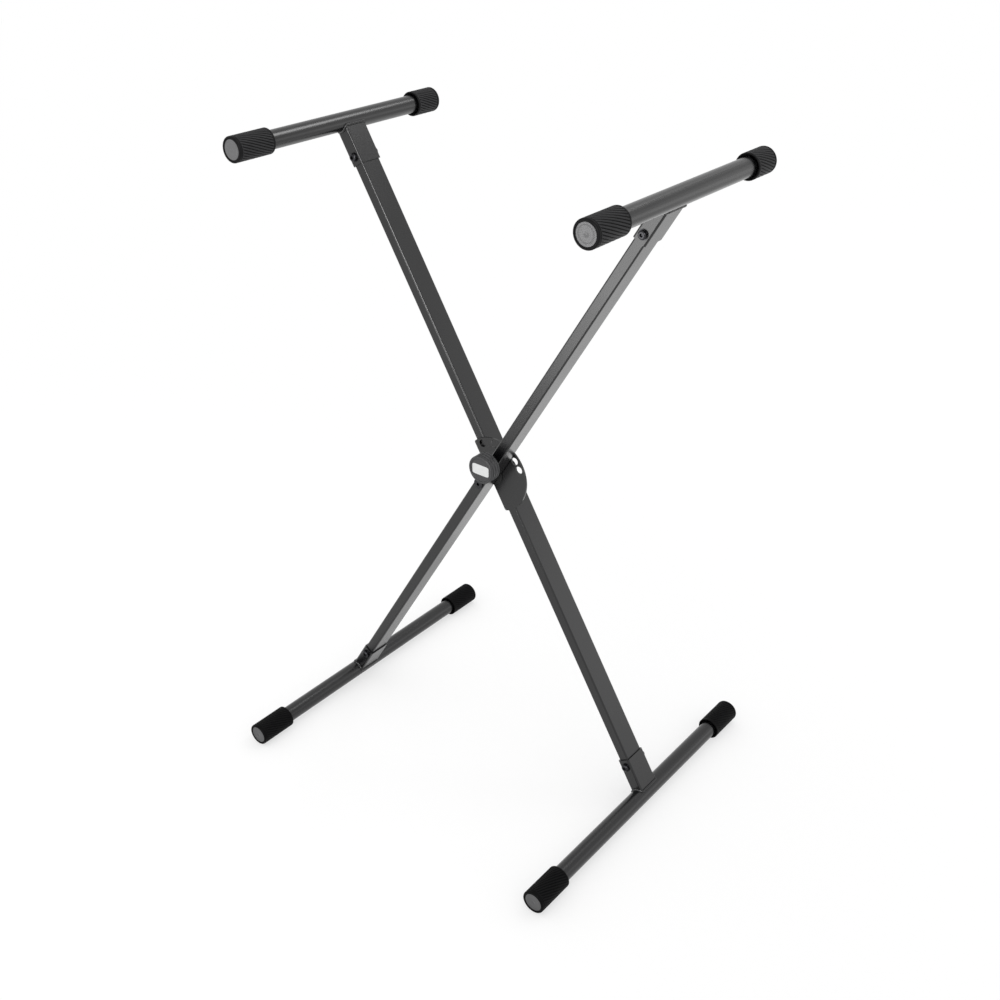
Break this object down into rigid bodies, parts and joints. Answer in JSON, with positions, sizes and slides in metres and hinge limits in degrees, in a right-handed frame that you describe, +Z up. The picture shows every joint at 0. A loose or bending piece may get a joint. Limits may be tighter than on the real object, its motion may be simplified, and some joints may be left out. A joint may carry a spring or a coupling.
{
  "type": "folding keyboard stand",
  "caption": "X-shaped folding keyboard stand: crossed steel legs on a locking pivot, each with a round arm on top and a round foot below, rubber capped, set in height by a pull knob.",
  "frame": {"origin": "on the floor, straight under the pivot, midway along the arms and feet", "axes": "+X across the cross towards the right arm, +Y along the arms and feet from the knob's side to the back, +Z up"},
  "size_m": [0.5092, 0.455, 0.8224],
  "materials": {
    "black_paint": "satin black powder coat on steel tube",
    "cap_rubber": "moulded black rubber with ribbed grip",
    "black_fasteners": "black zinc plating",
    "bright_steel": "bright zinc plated steel",
    "nylon": "black nylon washer",
    "knob_plastic": "moulded dark grey plastic"
  },
  "bodies": {
    "rear_frame": {"rear_leg_tube": "black_paint", "left_arm_tube": "black_paint", "left_arm_socket": "black_paint", "left_arm_front_cap": "cap_rubber", "left_arm_rear_cap": "cap_rubber", "left_arm_bolt": "black_fasteners", "left_arm_washer": "black_fasteners", "left_arm_nut": "black_fasteners", "right_foot_tube": "black_paint", "right_foot_socket": "black_paint", "right_foot_front_cap": "cap_rubber", "right_foot_rear_cap": "cap_rubber", "right_foot_bolt": "black_fasteners", "right_foot_washer": "black_fasteners", "right_foot_nut": "black_fasteners", "locking_plate": "black_paint", "pivot_bolt": "black_fasteners", "pivot_head_washer": "black_fasteners", "pivot_spacer": "nylon", "pivot_nut_washer": "black_fasteners", "pivot_nut": "black_fasteners", "rear_leg_bush": "bright_steel"},
    "front_frame": {"front_leg_tube": "black_paint", "right_arm_tube": "black_paint", "right_arm_socket": "black_paint", "right_arm_front_cap": "cap_rubber", "right_arm_rear_cap": "cap_rubber", "right_arm_bolt": "black_fasteners", "right_arm_washer": "black_fasteners", "right_arm_nut": "black_fasteners", "left_foot_tube": "black_paint", "left_foot_socket": "black_paint", "left_foot_front_cap": "cap_rubber", "left_foot_rear_cap": "cap_rubber", "left_foot_bolt": "black_fasteners", "left_foot_washer": "black_fasteners", "left_foot_nut": "black_fasteners", "front_leg_bush": "bright_steel", "guide_barrel": "black_paint", "knob_spring": "bright_steel"},
    "lock": {"lock_pin": "bright_steel", "spring_seat": "bright_steel", "pull_knob": "knob_plastic"}
  },
  "joints": [
    {"name": "fold", "type": "hinge", "parent": "rear_frame", "child": "front_frame", "pos_m": [0, 0, 0.4112], "axis": [0, 1, 0], "range_deg": [-58.53, 33]},
    {"name": "knob_pull", "type": "slide", "parent": "front_frame", "child": "lock", "axis": [0, 1, 0], "range_m": [-0.0015, 0.0027], "stiffness_N_per_m": 800, "springref_m": 0.012, "deforming": ["knob_spring"]}
  ]
}
